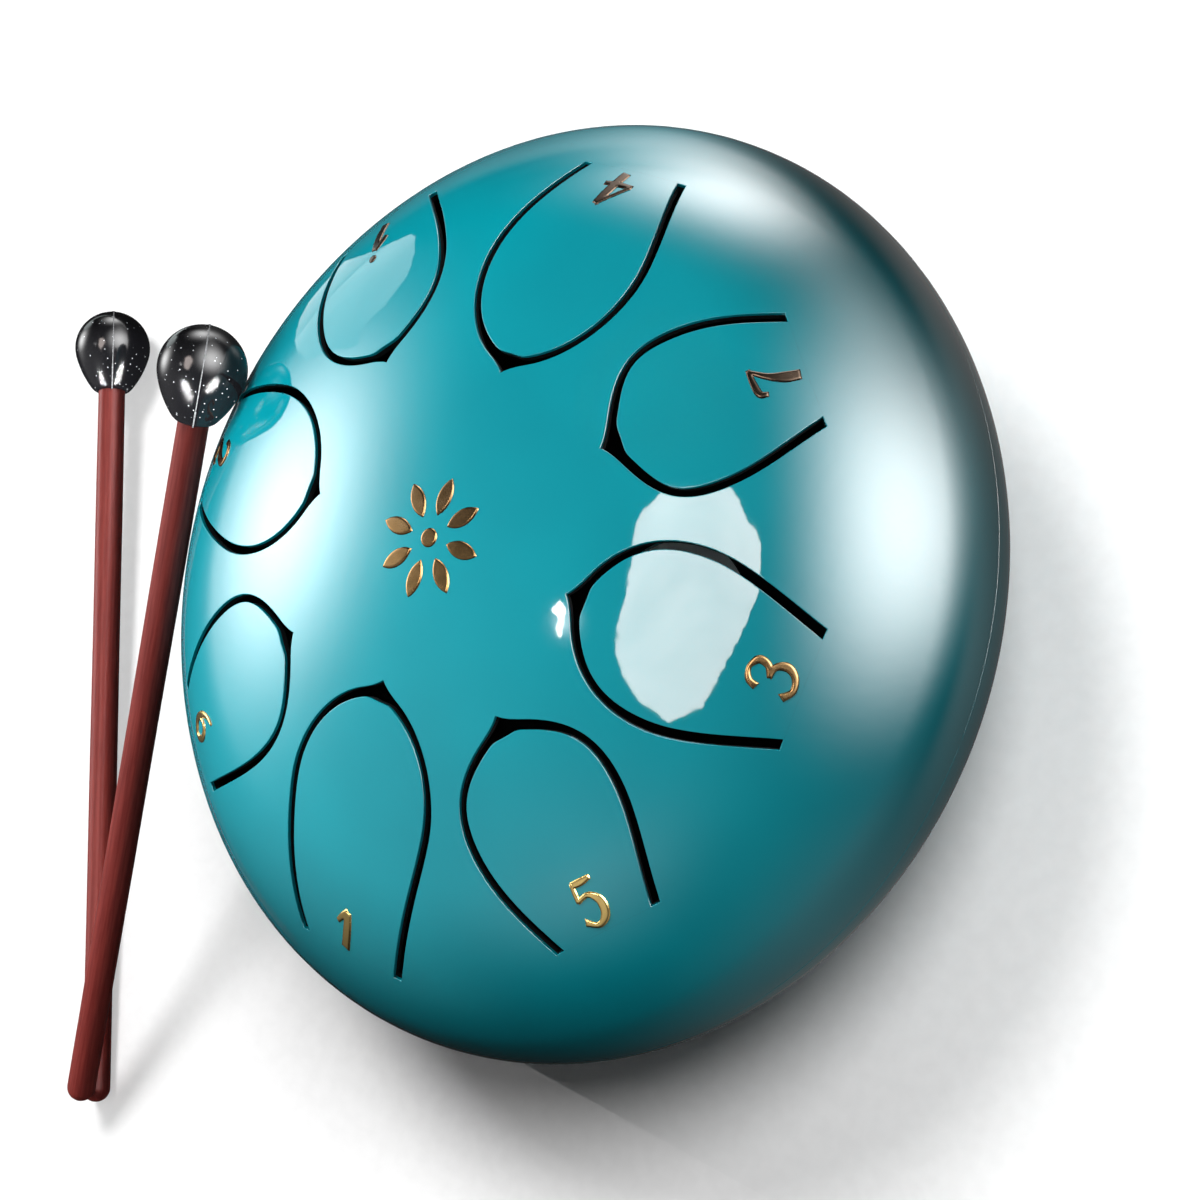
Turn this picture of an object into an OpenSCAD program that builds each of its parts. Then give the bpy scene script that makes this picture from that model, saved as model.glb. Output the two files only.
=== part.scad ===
// Eight-note steel tongue drum, face up on its rubber feet, with a pair of mallets.
// The origin is on the drum's axis, in the plane that the feet stand on; +Z is up.

/* [Drum body] */
// Diameter over the welded seam
drum_d = 152; // [146:0.5:158]
// Height of one pressed half, from the seam to its crown
half_h = 35.8; // [33:0.2:38]
// How much larger the crown's radius is than the shoulder's, as a share of the drum's radius
crown_share = 1.302631579; // [1.25:0.01:1.35]
// Thickness of the sheet steel
sheet_t = 1.5; // [1.2:0.1:2]
// Gap between the lower crown and the table
crown_lift = 3.8; // [3:0.1:6]
// Diameter of the sound hole in the lower crown
sound_hole_d = 30; // [24:1:34]
// Depth of the weld groove at the seam
weld_depth = 1; // [0.7:0.05:1.1]
// Width of the weld bead on the outside
weld_w = 2.4; // [1.6:0.1:3]

/* [Tongues, in the order of the notes 1 to 7 and the high 1] */
// Distance of each slit's point from the drum's axis, as shares of the drum's radius
point_shares = [0.29605, 0.33816, 0.33816, 0.35395, 0.38816, 0.40263, 0.39737, 0.43289]; // [0.26:0.001:0.45]
// Distance of each tongue's widest place from the axis, as shares of the drum's radius
belly_shares = [0.55263, 0.59211, 0.57237, 0.61184, 0.59868, 0.61842, 0.59211, 0.65789]; // [0.53:0.001:0.67]
// Half the width of each tongue at its widest place, to the middle of the slit, as such shares
belly_half_shares = [0.18553, 0.17895, 0.17105, 0.18553, 0.17237, 0.17368, 0.16711, 0.17368]; // [0.16:0.001:0.2]
// Distance of each tongue's root from the axis, as shares of the drum's radius
root_shares = [0.85921, 0.84211, 0.80263, 0.83553, 0.81579, 0.84211, 0.78947, 0.85526]; // [0.78:0.001:0.87]
// Half the distance between the slit's two ends at each root, as such shares
root_half_shares = [0.13289, 0.12368, 0.10921, 0.12237, 0.11579, 0.12105, 0.11711, 0.12895]; // [0.1:0.001:0.14]
// Small turn of each tongue about the axis, from its even eighth of the circle
tongue_deg = [-0.2, 0, -0.8, 0.9, 0.5, 0, -0.5, 1]; // [-1:0.1:1]
// Width of the cut slit
slit_w = 1.45; // [1.2:0.05:1.7]
// Depth of the point, from its corner to the rounded tongue under it
point_gap = 3.3; // [2.8:0.1:3.6]
// Running clearance at a tongue's root
root_gap = 0.03; // [0.02:0.01:0.06]

/* [Foil numbers and emblem] */
// Height of a number
number_h = 6.9; // [6:0.1:7.4]
// Thickness of the foil
foil_t = 0.25; // [0.15:0.05:0.4]
// Gap between the foot of a number and the tongue's root
number_gap = 0.4; // [0.2:0.1:1]
// Diameter over the emblem's petals
emblem_d = 19; // [14:1:24]
// Length of one petal
petal_l = 6; // [4:0.5:7]
// Width of one petal
petal_w = 2.7; // [2:0.1:3.2]
// Diameter of the emblem's middle dot
emblem_dot_d = 3; // [2:0.5:4]

/* [Feet] */
// Number of rubber feet
foot_count = 3; // [3:1:4]
// Diameter of a foot on the table
foot_d = 11; // [9:0.5:13]
// Diameter of a foot at the shell
foot_top_d = 13; // [11:0.5:15]
// Radius of the edge that a foot stands on
foot_edge_r = 1; // [0.5:0.1:1.5]
// Distance of a foot from the drum's axis
foot_at = 32; // [28:1:40]

/* [Mallets] */
// Whole length of a mallet
mallet_l = 160.5; // [155:0.5:166]
// Diameter of the stick
stick_d = 5.4; // [5:0.1:6]
// Diameter of the rubber head
head_d = 15.2; // [14:0.2:17]
// Radius of the head's long flank
head_flank_r = 20; // [17:0.5:23]
// Radius of the head's edge at the stick
head_edge_r = 2; // [1.5:0.1:2.5]
// Depth of the stick in the head
socket_l = 10; // [8:0.5:12]
// Radial gap between the stick and its socket
socket_gap = 0.05; // [0.03:0.01:0.1]
// Direction from the drum's axis to the leaning mallet's head
lean_deg = 170; // [167:0.5:173]
// Highest height angle of the place on the shoulder that this head touches
lean_side_deg = 52.5; // [50:0.5:56]
// Heading of the leaning mallet
lean_heading_deg = 81; // [80:0.5:83]
// Lift of the leaning mallet's butt over the table, on the other stick
butt_lift = 5.5; // [5.3:0.1:5.6]
// Heading of the mallet that lies on the table
lying_heading_deg = 115; // [112:0.5:118]
// Gap between parts that only rest on each other
rest_gap = 0.3; // [0.2:0.05:0.4]

/* [Hidden] */
$fn = 96;
NOTES = ["1", "2", "3", "4", "5", "6", "7", "high_1"];

drum_r = drum_d / 2;
seam_z = crown_lift + half_h;
cut_h = 2 * drum_r;

// The pressed half is a crown, a shoulder and a rim arc, tangent to each other, close to
// the half ellipse of the same width and height. They meet in two fixed directions, whose
// short decimals keep the arcs' ends on each other.
up = [0, 1];
out = [1, 0];
crown_dir = [0.352, 0.936];
shoulder_dir = [0.8, 0.6];
crown_step = crown_share * drum_r;
bend_rest = drum_r - half_h - crown_step * (crown_dir.x + crown_dir.y - 1);
shoulder_step = bend_rest / (shoulder_dir.x + shoulder_dir.y - 1);
rim_x = crown_step * crown_dir.x + shoulder_step * shoulder_dir.x;
rim_r = drum_r - rim_x;
shoulder_r = rim_r + shoulder_step;
crown_r = shoulder_r + crown_step;
crown_c = (half_h - crown_r) * up;
shoulder_c = crown_c + crown_step * crown_dir;
far = 4 * drum_r;

// All that is beyond an arc, from one direction on.
module beyond(r, centre, from) {
    translate(centre) difference() {
        polygon([[0, 0], far * from, far * (from + out), far * out]);
        circle(r = r, $fn = 180);
    }
}

// Half section of one pressed half, from the axis out, moved in by a depth.
module half_section(depth) {
    difference() {
        intersection() {
            translate(crown_c) circle(r = crown_r - depth, $fn = 180);
            square([cut_h, cut_h]);
        }
        beyond(shoulder_r - depth, shoulder_c, crown_dir);
        beyond(rim_r - depth, [rim_x, 0], shoulder_dir);
    }
}

// Turn a section about the drum's axis. Its y is 0 at the seam.
module revolved() {
    translate([0, 0, seam_z]) rotate_extrude($fn = 180) children();
}

// Layer of the upper half, between two depths under its outside.
module layer(outer, inner) {
    revolved() difference() {
        half_section(outer);
        half_section(inner);
    }
}

// Triangle of weld at the seam, wider than the bead on the outside.
module weld_section() {
    translate([drum_r - weld_depth, 0]) polygon([[0, 0], [2 * weld_depth, -weld_w], [2 * weld_depth, weld_w]]);
}

// Sheet of one pressed half, with its side of the weld groove.
module sheet_section() {
    difference() {
        half_section(0);
        half_section(sheet_t);
        weld_section();
    }
}

// Point of a Bezier curve, and the curve without its first point.
function bezier(p, t) = (1 - t) ^ 3 * p[0] + 3 * (1 - t) ^ 2 * t * p[1] + 3 * (1 - t) * t ^ 2 * p[2] + t ^ 3 * p[3];
function curve(p, steps) = [for (i = [1 : steps]) bezier(p, i / steps)];
function along(turn) = [cos(turn), sin(turn)];
function left_of(turn) = [-sin(turn), cos(turn)];

// Half outline of a slit's edge in plan. x runs from the drum's axis to the root.
// side is 1 for the shell's edge and -1 for the tongue's edge.
flank_deg = 66;
leg_deg = -20;
point_deg = 45;
flank_shares = [0.03947, 0.04737];
flank_pull_share = 0.09211;
belly_pull_share = 0.09211;
leg_pull_share = 0.07237;
point_pull_share = 0.01842;
function point_at(i) = point_shares[i] * drum_r;
function root_at(i) = root_shares[i] * drum_r;
function slit_side(i, side) =
    let (
        half = side * slit_w / 2,
        start = [point_at(i) + (side > 0 ? 0 : point_gap), 0],
        flank = point_at(i) * out + flank_shares * drum_r + half * left_of(flank_deg),
        belly = [belly_shares[i] * drum_r, belly_half_shares[i] * drum_r + half],
        root = [root_at(i) - (side > 0 ? 0 : root_gap), root_half_shares[i] * drum_r + half / cos(leg_deg)],
        start_pull = point_pull_share * drum_r * (side > 0 ? along(point_deg) : up),
        flank_start_pull = point_pull_share * drum_r * along(flank_deg),
        flank_pull = flank_pull_share * drum_r * along(flank_deg),
        belly_pull = belly_pull_share * drum_r * out,
        leg_pull = leg_pull_share * drum_r
    )
    concat(
        [start],
        curve([start, start + start_pull, flank - flank_start_pull, flank], 5),
        curve([flank, flank + flank_pull, belly - belly_pull, belly], 11),
        curve([belly, belly + leg_pull * out, root - leg_pull * along(leg_deg), root], 8));

// Both halves of the outline, closed along the root.
function slit_outline(i, side) =
    let (one = slit_side(i, side), last = len(one) - 1)
    concat(one, [for (k = [last : -1 : 1]) [one[k].x, -one[k].y]]);

// Places around the drum, in eighths from the lowest note: low and high notes alternate.
places = [0, 6, 2, 4, 1, 7, 3, 5];
first_deg = -90;
function tongue_dir(i) = first_deg + places[i] * 360 / len(NOTES) + tongue_deg[i];

module tongue_prism(i, side) {
    rotate([0, 0, tongue_dir(i)]) translate([0, 0, seam_z]) linear_extrude(cut_h)
        polygon(slit_outline(i, side));
}

module upper_shell() {
    color("#1a94a3") difference() {
        revolved() sheet_section();
        for (i = [0 : len(NOTES) - 1]) tongue_prism(i, 1);
    }
}

module lower_shell() {
    color("#157f8c") revolved() mirror([0, 1]) difference() {
        sheet_section();
        square([sound_hole_d / 2, cut_h]);
    }
}

// The bead fills the groove and is ground flush with both halves.
module seam_weld() {
    color("#1a94a3") revolved() intersection() {
        weld_section();
        union() {
            half_section(0);
            mirror([0, 1]) half_section(0);
        }
    }
}

module tongue(i) {
    color("#1d9bab") intersection() {
        layer(0, sheet_t);
        tongue_prism(i, -1);
    }
}

// Foil follows the drum's face, inside a flat outline.
module foil(turn, distance) {
    color("#c9a254") intersection() {
        layer(-foil_t, 0);
        rotate([0, 0, turn]) translate([distance, 0, seam_z]) rotate([0, 0, 90]) linear_extrude(cut_h)
            children();
    }
}

// Smooth line through points, and a stroke of changing half width along it.
function between(a, b, c, d, t) =
    0.5 * (2 * b + (c - a) * t + (2 * a - 5 * b + 4 * c - d) * t ^ 2 + (3 * b - a - 3 * c + d) * t ^ 3);
function pick(p, i) = p[max(0, min(len(p) - 1, i))];
function smooth(p, n) = [for (i = [0 : len(p) - 2]) for (k = [0 : n - (i == len(p) - 2 ? 0 : 1)])
    between(pick(p, i - 1), p[i], p[i + 1], pick(p, i + 2), k / n)];
function side_of(p, i, s) =
    let (d = pick(p, i + 1) - pick(p, i - 1), n = norm([d.x, d.y]))
    [p[i].x - s * p[i].z * d.y / n, p[i].y + s * p[i].z * d.x / n];
function stroke(p) = concat(
    [for (i = [0 : len(p) - 1]) side_of(p, i, 1)],
    [for (i = [len(p) - 1 : -1 : 0]) side_of(p, i, -1)]);

// Each stroke of a number: x, y and half width as shares of the number's height, y towards
// the drum's axis.
one_shares = [[[0.12, 0.42, 0.1], [0.08, 0.1, 0.12], [0, -0.25, 0.12], [-0.06, -0.45, 0.12]],
    [[0.12, 0.44, 0.07], [-0.06, 0.28, 0.08], [-0.22, 0.12, 0.06]]];
two_shares = [[[-0.3, 0.18, 0.08], [-0.22, 0.38, 0.08], [0.02, 0.45, 0.06], [0.22, 0.3, 0.1],
    [0.12, 0.02, 0.11], [-0.14, -0.2, 0.08], [-0.31, -0.4, 0.07]],
    [[-0.31, -0.39, 0.07], [-0.06, -0.37, 0.1], [0.16, -0.42, 0.08], [0.34, -0.3, 0.05]]];
three_shares = [[[-0.29, 0.2, 0.09], [-0.2, 0.38, 0.07], [0.04, 0.45, 0.05], [0.25, 0.32, 0.09],
    [0.19, 0.12, 0.08], [-0.04, 0.03, 0.045]],
    [[-0.04, 0.03, 0.045], [0.2, 0, 0.07], [0.3, -0.2, 0.1], [0.16, -0.39, 0.07],
    [-0.12, -0.44, 0.06], [-0.33, -0.28, 0.09]]];
four_shares = [[[0.2, 0.44, 0.06], [-0.04, 0.18, 0.05], [-0.33, -0.14, 0.05]],
    [[-0.37, -0.15, 0.06], [0, -0.15, 0.07], [0.4, -0.13, 0.06]],
    [[0.2, 0.44, 0.09], [0.15, 0.1, 0.12], [0.07, -0.48, 0.12]]];
five_shares = [[[0.34, 0.43, 0.05], [0.08, 0.41, 0.08], [-0.15, 0.42, 0.07]],
    [[-0.13, 0.45, 0.05], [-0.17, 0.25, 0.06], [-0.2, 0.06, 0.06]],
    [[-0.22, 0.08, 0.045], [0.08, 0.13, 0.06], [0.27, -0.06, 0.11], [0.2, -0.32, 0.1],
    [-0.06, -0.45, 0.06], [-0.32, -0.3, 0.08]]];
six_shares = [[[0.3, 0.45, 0.04], [0.02, 0.34, 0.06], [-0.22, 0.06, 0.09], [-0.25, -0.22, 0.09],
    [-0.02, -0.44, 0.06]],
    [[-0.06, -0.44, 0.05], [0.16, -0.38, 0.08], [0.26, -0.18, 0.09], [0.18, 0, 0.07], [0, 0.06, 0.05],
    [-0.22, -0.08, 0.04]]];
seven_shares = [[[-0.34, 0.2, 0.06], [-0.28, 0.36, 0.08], [0, 0.41, 0.07], [0.35, 0.43, 0.05]],
    [[0.3, 0.43, 0.05], [0.06, 0.12, 0.08], [-0.08, -0.2, 0.13], [-0.12, -0.48, 0.12]]];
number_shares = [one_shares, two_shares, three_shares, four_shares, five_shares, six_shares, seven_shares, one_shares];
dot_place_shares = [0.16, 0.7];
dot_share = 0.11;

module number_flat(i) {
    for (s = number_shares[i]) polygon(number_h * stroke(smooth(s, 4)));
    if (i == len(NOTES) - 1) translate(number_h * dot_place_shares) circle(r = number_h * dot_share, $fn = 32);
}

module number(i) {
    foil(tongue_dir(i), root_at(i) - root_gap - number_gap - number_h / 2) number_flat(i);
}

// Petal between two equal arcs.
module petal() {
    arc_r = (petal_l ^ 2 + petal_w ^ 2) / (4 * petal_w);
    intersection() {
        translate([0, arc_r - petal_w / 2]) circle(r = arc_r);
        translate([0, petal_w / 2 - arc_r]) circle(r = arc_r);
    }
}

module centre_emblem() {
    foil(0, 0) {
        circle(d = emblem_dot_d);
        for (i = [0 : len(NOTES) - 1])
            rotate([0, 0, i * 360 / len(NOTES)]) translate([(emblem_d - petal_l) / 2, 0]) petal();
    }
}

// Foot glued under the lower shell, with a round standing edge.
module foot(i) {
    color("#1c1c1e") difference() {
        rotate([0, 0, first_deg + i * 360 / foot_count]) translate([foot_at, 0, 0]) rotate_extrude() union() {
            polygon([[0, 0], [foot_d / 2 - foot_edge_r, 0], [foot_d / 2 - foot_edge_r, foot_edge_r],
                [foot_d / 2, foot_edge_r], [foot_top_d / 2, seam_z - foot_edge_r], [0, seam_z - foot_edge_r]]);
            translate([foot_d / 2 - foot_edge_r, foot_edge_r]) intersection() {
                circle(r = foot_edge_r);
                translate([0, -foot_edge_r]) square(foot_edge_r);
            }
        }
        revolved() mirror([0, 1]) half_section(0);
        translate([0, 0, seam_z - 2 * foot_edge_r]) cylinder(r = drum_r, h = cut_h);
    }
}

stick_r = stick_d / 2;
head_r = head_d / 2;

// Distance of a place from the drum's outside.
function drum_gap(p) =
    let (q = [norm([p.x, p.y]), abs(p.z - seam_z)])
    cross(shoulder_dir, q - rim_x * out) < 0 ? norm(q - rim_x * out) - rim_r :
    cross(crown_dir, q - shoulder_c) > 0 ? norm(q - crown_c) - crown_r : norm(q - shoulder_c) - shoulder_r;

// The leaning mallet's head touches the shoulder arc at a height angle, and its butt is on the
// other stick.
grip_l = mallet_l - stick_r - head_r;
function lean_centre(side_deg) = shoulder_c + (shoulder_r + head_r + rest_gap) * along(side_deg);
function rise_of(side_deg) = asin((seam_z + lean_centre(side_deg).y - stick_r - butt_lift) / grip_l);
function stick_gap(side_deg) =
    let (head = lean_centre(side_deg), rise = rise_of(side_deg), down = cos(rise) * along(lean_heading_deg))
    min([for (k = [8 : 60]) drum_gap([each head.x * along(lean_deg) - k / 60 * grip_l * down,
        seam_z + head.y - k / 60 * grip_l * sin(rise)])]) - stick_r;

// The head rests lower on the shoulder where the stick would otherwise touch the drum.
side_step_deg = 0.5;
function clear_side(side_deg) = side_deg > side_step_deg && stick_gap(side_deg) < rest_gap ?
    clear_side(side_deg - side_step_deg) : side_deg;
lean_place = lean_centre(clear_side(lean_side_deg));
lean_rise = rise_of(clear_side(lean_side_deg));
lean_foot = lean_place.x * along(lean_deg) - grip_l * cos(lean_rise) * along(lean_heading_deg);
lean_butt = [lean_foot.x, lean_foot.y, stick_r + butt_lift];

// The lying mallet's butt is on the table, under the leaning one.
tuck = sqrt((stick_d + rest_gap) ^ 2 - butt_lift ^ 2);
lying_foot = lean_foot + tuck * left_of(lying_heading_deg);
lying_butt = [lying_foot.x, lying_foot.y, stick_r];
lying_rise = asin((head_r - stick_r) / grip_l);

// Mallet along +Z from the middle of its round butt.
module stick() {
    color("#7d2b27") rotate_extrude($fn = 48) {
        square([stick_r, socket_end]);
        intersection() {
            circle(r = stick_r);
            translate([0, -stick_r]) square(stick_r);
        }
    }
}

// Sector of a disc, through a list of directions.
module sector(r, centre, dirs) {
    translate(centre) intersection() {
        circle(r = r, $fn = 180);
        polygon(concat([[0, 0]], far * dirs));
    }
}

// Half section of the head: a round top, a long flank, a small edge and the socket of the stick.
top_dir = [0.96, -0.28];
flank_dir = [0.8, -0.6];
flank_c = (head_r - head_flank_r) * top_dir;
edge_c = flank_c + (head_flank_r - head_edge_r) * flank_dir;
head_l = head_r - edge_c.y + head_edge_r;
socket_end = mallet_l - stick_r - head_l + socket_l;
module head_section() {
    intersection() {
        union() {
            sector(head_r, [0, 0], [up, out, top_dir]);
            sector(head_flank_r, flank_c, [top_dir, flank_dir]);
            sector(head_edge_r, edge_c, [flank_dir, [flank_dir.y, -flank_dir.x], -flank_dir]);
        }
        difference() {
            translate([0, -head_d]) square([head_d, 2 * head_d]);
            translate([0, -head_d]) square([stick_r + socket_gap, head_d + socket_end - grip_l]);
        }
    }
}

module head() {
    color("#161618") translate([0, 0, grip_l]) rotate_extrude($fn = 64) head_section();
}

// Put a mallet with its butt at a place, heading and rising.
module mallet_at(butt, turn, rise) {
    translate(butt) rotate([0, 0, turn]) rotate([0, 90 - rise, 0]) children();
}

upper_shell();
lower_shell();
seam_weld();
centre_emblem();
for (i = [0 : len(NOTES) - 1]) tongue(i);
for (i = [0 : len(NOTES) - 1]) number(i);
for (i = [1 : foot_count]) foot(i);
mallet_at(lying_butt, lying_heading_deg, lying_rise) stick();  // mallet_1_stick
mallet_at(lying_butt, lying_heading_deg, lying_rise) head();  // mallet_1_head
mallet_at(lean_butt, lean_heading_deg, lean_rise) stick();  // mallet_2_stick
mallet_at(lean_butt, lean_heading_deg, lean_rise) head();  // mallet_2_head
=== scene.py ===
# Looks for the eight-note steel tongue drum and its two mallets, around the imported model.
import math
import bpy
import numpy as np
from mathutils import Matrix, Vector
from mathutils.geometry import delaunay_2d_cdt


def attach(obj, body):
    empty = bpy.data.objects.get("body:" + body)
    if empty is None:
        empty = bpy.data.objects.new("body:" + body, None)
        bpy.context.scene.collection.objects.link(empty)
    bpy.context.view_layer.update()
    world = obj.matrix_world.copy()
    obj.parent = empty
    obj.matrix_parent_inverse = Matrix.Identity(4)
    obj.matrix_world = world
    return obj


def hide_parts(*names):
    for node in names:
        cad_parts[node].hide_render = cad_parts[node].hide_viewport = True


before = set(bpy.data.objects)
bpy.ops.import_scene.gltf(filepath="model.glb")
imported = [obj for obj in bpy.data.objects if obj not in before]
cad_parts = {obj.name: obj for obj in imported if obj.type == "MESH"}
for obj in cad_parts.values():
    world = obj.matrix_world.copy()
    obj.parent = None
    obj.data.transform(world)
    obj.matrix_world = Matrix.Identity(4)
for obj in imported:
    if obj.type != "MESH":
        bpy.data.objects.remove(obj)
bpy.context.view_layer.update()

mm = 0.001
noteNames = ["1", "2", "3", "4", "5", "6", "7", "high_1"]


def linearColor(hexText, alpha=1.0):
    parts = [int(hexText[k:k + 2], 16) / 255 for k in (1, 3, 5)]
    return tuple(p / 12.92 if p <= 0.04045 else ((p + 0.055) / 1.055) ** 2.4 for p in parts) + (alpha,)


def newMaterial(name):
    material = bpy.data.materials.new(name)
    material.use_nodes = True
    material.node_tree.nodes.clear()
    return material, material.node_tree


def addNode(tree, kind, links=None, settings=None, **inputs):
    # links: a socket takes a node's first output, a named output or a value; settings: the node's options.
    node = tree.nodes.new("ShaderNode" + kind)
    for key, value in (settings or {}).items():
        setattr(node, key, value)
    for key, value in inputs.items():
        node.inputs[key.replace("_", " ")].default_value = value
    for key, item in (links or {}).items():
        if isinstance(item, bpy.types.Node):
            item = item.outputs[0]
        if isinstance(item, bpy.types.NodeSocket):
            tree.links.new(item, node.inputs[key])
        else:
            node.inputs[key].default_value = item
    return node


def rampColors(node, stops):
    elements = node.color_ramp.elements
    while len(elements) < len(stops):
        elements.new(0.5)
    for element, (place, color) in zip(elements, stops):
        element.position = place
        element.color = linearColor(color)


def meshPiece(name, points, faces, normals, materials, faceSlots=None):
    mesh = bpy.data.meshes.new(name)
    mesh.from_pydata([tuple(p) for p in points], [], [tuple(int(k) for k in f) for f in faces])
    mesh.polygons.foreach_set("use_smooth", [True] * len(mesh.polygons))
    for material in materials:
        mesh.materials.append(material)
    if faceSlots is not None:
        mesh.polygons.foreach_set("material_index", [int(k) for k in faceSlots])
    mesh.update()
    if normals is not None:
        mesh.normals_split_custom_set_from_vertices([tuple(n) for n in normals])
    piece = bpy.data.objects.new(name, mesh)
    bpy.context.collection.objects.link(piece)
    return piece


lacquerLook = {"color": "#02a3b2", "deepColor": "#0298a7", "roughness": 0.42, "coatRoughness": 0.03,
               "cloudMm": 38, "peelMm": 2.4, "peelHeight": 0.02, "dustMm": 0.5}


def makeLacquer():
    # Baked gloss enamel on pressed steel: deep, wet-looking, with faint orange peel.
    material, tree = newMaterial("bakedEnamelOnSteel")
    place = addNode(tree, "NewGeometry")
    cloud = addNode(tree, "TexNoise", {"Vector": place}, Scale=1 / (lacquerLook["cloudMm"] * mm), Detail=2.0)
    tint = addNode(tree, "ValToRGB", {"Fac": cloud})
    rampColors(tint, [(0.35, lacquerLook["deepColor"]), (0.65, lacquerLook["color"])])
    peel = addNode(tree, "TexNoise", {"Vector": place}, Scale=1 / (lacquerLook["peelMm"] * mm), Detail=1.0)
    peelBump = addNode(tree, "Bump", {"Height": peel}, Strength=0.35, Distance=lacquerLook["peelHeight"] * mm)
    dust = addNode(tree, "TexNoise", {"Vector": place}, Scale=1 / (lacquerLook["dustMm"] * mm), Detail=3.0)
    rough = addNode(tree, "MapRange", {"Value": dust}, From_Min=0.3, From_Max=0.7,
                    To_Min=lacquerLook["roughness"] - 0.05, To_Max=lacquerLook["roughness"] + 0.07)
    shader = addNode(tree, "BsdfPrincipled", {"Base Color": tint, "Roughness": rough, "Coat Normal": peelBump},
                     IOR=1.5, Specular_IOR_Level=0.0, Metallic=0.0, Coat_Weight=1.0,
                     Coat_Roughness=lacquerLook["coatRoughness"], Coat_IOR=1.52)
    addNode(tree, "OutputMaterial", {"Surface": shader})
    return material


def makeInsideShade():
    # Matt black inside the body and down the cut walls: painted shade, so that the slits look dark.
    material, tree = newMaterial("mattBlackInsideShade")
    place = addNode(tree, "NewGeometry")
    grain = addNode(tree, "TexNoise", {"Vector": place}, Scale=1 / (0.6 * mm), Detail=4.0)
    tone = addNode(tree, "ValToRGB", {"Fac": grain})
    rampColors(tone, [(0.3, "#060708"), (0.75, "#0e1011")])
    bump = addNode(tree, "Bump", {"Height": grain}, Strength=0.4, Distance=0.05 * mm)
    shader = addNode(tree, "BsdfPrincipled", {"Base Color": tone, "Normal": bump},
                     IOR=1.5, Metallic=0.0, Roughness=0.8, Specular_IOR_Level=0.08)
    addNode(tree, "OutputMaterial", {"Surface": shader})
    return material


# The foil's colour is a painted reflection: it goes from gilt through bronze to dark along Y.
foilLook = {"gilt": "#cbae6c", "bronze": "#7c623f", "dark": "#3b3129",
            "giltAt": -42, "bronzeAt": -6, "darkAt": 30,  # millimetres from the drum's middle
            "roughness": 0.2, "crinkleMm": 1.6, "stir": 0.2}


def makeFoil():
    # Hot-stamped foil over a soft dome: mirror-like. Its colour is a painted reflection: gilt at the low notes,
    # darkening to dark bronze at the far side.
    material, tree = newMaterial("hotStampedFoil")
    place = addNode(tree, "NewGeometry")
    crinkle = addNode(tree, "TexNoise", {"Vector": place}, Scale=1 / (foilLook["crinkleMm"] * mm), Detail=2.0)
    sides = addNode(tree, "SeparateXYZ", {0: place})
    low, high = foilLook["giltAt"] * mm, foilLook["darkAt"] * mm
    # Painted reflection: the foil's colour darkens along Y across the drum.
    across = addNode(tree, "MapRange", {"Value": sides.outputs["Y"]}, From_Min=low, From_Max=high)
    stir = addNode(tree, "Math", {0: crinkle, 1: foilLook["stir"], 2: across}, {"operation": "MULTIPLY_ADD"})
    tone = addNode(tree, "ValToRGB", {"Fac": stir})
    middle = (foilLook["bronzeAt"] * mm - low) / (high - low)
    shift = foilLook["stir"] / 2
    rampColors(tone, [(shift, foilLook["gilt"]), (middle + shift, foilLook["bronze"]), (1.0, foilLook["dark"])])
    rough = addNode(tree, "MapRange", {"Value": crinkle}, From_Min=0.3, From_Max=0.7,
                    To_Min=foilLook["roughness"] - 0.05, To_Max=foilLook["roughness"] + 0.08)
    bump = addNode(tree, "Bump", {"Height": crinkle}, Strength=0.25, Distance=0.02 * mm)
    shader = addNode(tree, "BsdfPrincipled", {"Base Color": tone, "Roughness": rough, "Normal": bump},
                     Metallic=1.0)
    addNode(tree, "OutputMaterial", {"Surface": shader})
    return material


def makeHeadRubber():
    # Black rubber straight from a polished mould: glossy, with fine pits and dust.
    material, tree = newMaterial("polishedMouldedRubber")
    place = addNode(tree, "NewGeometry")
    speck = addNode(tree, "TexVoronoi", {"Vector": place}, Scale=1 / (1.1 * mm))
    tone = addNode(tree, "ValToRGB", {"Fac": speck})
    rampColors(tone, [(0.07, "#9a9da0"), (0.13, "#0b0b0d")])
    skin = addNode(tree, "TexNoise", {"Vector": place}, Scale=1 / (0.35 * mm), Detail=3.0)
    bump = addNode(tree, "Bump", {"Height": skin}, Strength=0.35, Distance=0.015 * mm)
    shader = addNode(tree, "BsdfPrincipled", {"Base Color": tone, "Normal": bump},
                     IOR=1.52, Metallic=0.0, Roughness=0.13, Specular_IOR_Level=0.3)
    addNode(tree, "OutputMaterial", {"Surface": shader})
    return material


def makeMouldLineHighlight():
    # The mould line: matt, and painted paler than the moulded skin as a painted highlight along the line.
    material, tree = newMaterial("mouldLinePaintedHighlight")
    place = addNode(tree, "NewGeometry")
    grain = addNode(tree, "TexNoise", {"Vector": place}, Scale=1 / (0.4 * mm), Detail=2.0)
    tone = addNode(tree, "ValToRGB", {"Fac": grain})
    rampColors(tone, [(0.3, "#2c2d2f"), (0.7, "#6b6c6e")])
    shader = addNode(tree, "BsdfPrincipled", {"Base Color": tone}, IOR=1.52, Roughness=0.6)
    addNode(tree, "OutputMaterial", {"Surface": shader})
    return material


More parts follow.
